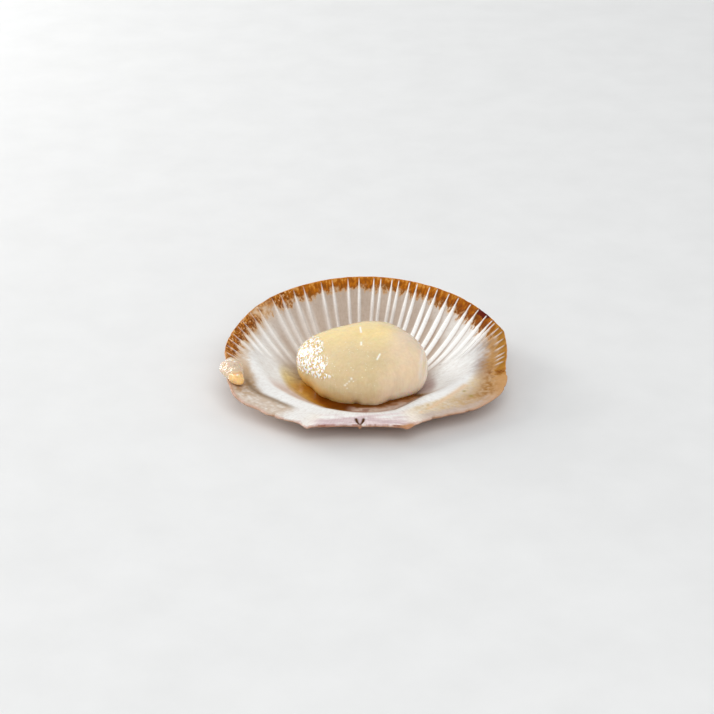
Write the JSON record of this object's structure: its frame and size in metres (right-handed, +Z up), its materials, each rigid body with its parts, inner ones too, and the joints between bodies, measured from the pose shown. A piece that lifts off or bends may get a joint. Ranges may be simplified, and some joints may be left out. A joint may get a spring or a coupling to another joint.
{
  "type": "scallop in shell",
  "caption": "Raw scallop meat lying in its open, inwardly ribbed half shell with a little amber juice.",
  "frame": {"origin": "middle of the part's box in plan, on the ground that the shell's flat foot rests on", "axes": "+Z up, the straight hinge towards -Y, the round far margin towards +Y, +X to the right"},
  "size_m": [0.0908, 0.0897, 0.0198],
  "materials": {
    "shell": "smooth white shell, satin to glossy inside, with an orange-brown margin",
    "meat": "wet, translucent cream flesh",
    "juice": "clear amber-brown liquid",
    "mantle": "wet pinkish-beige tissue with an amber end"
  },
  "bodies": {
    "root": {"shell": "shell", "meat": "meat", "juice": "juice", "mantle_scrap": "mantle"}
  },
  "joints": []
}
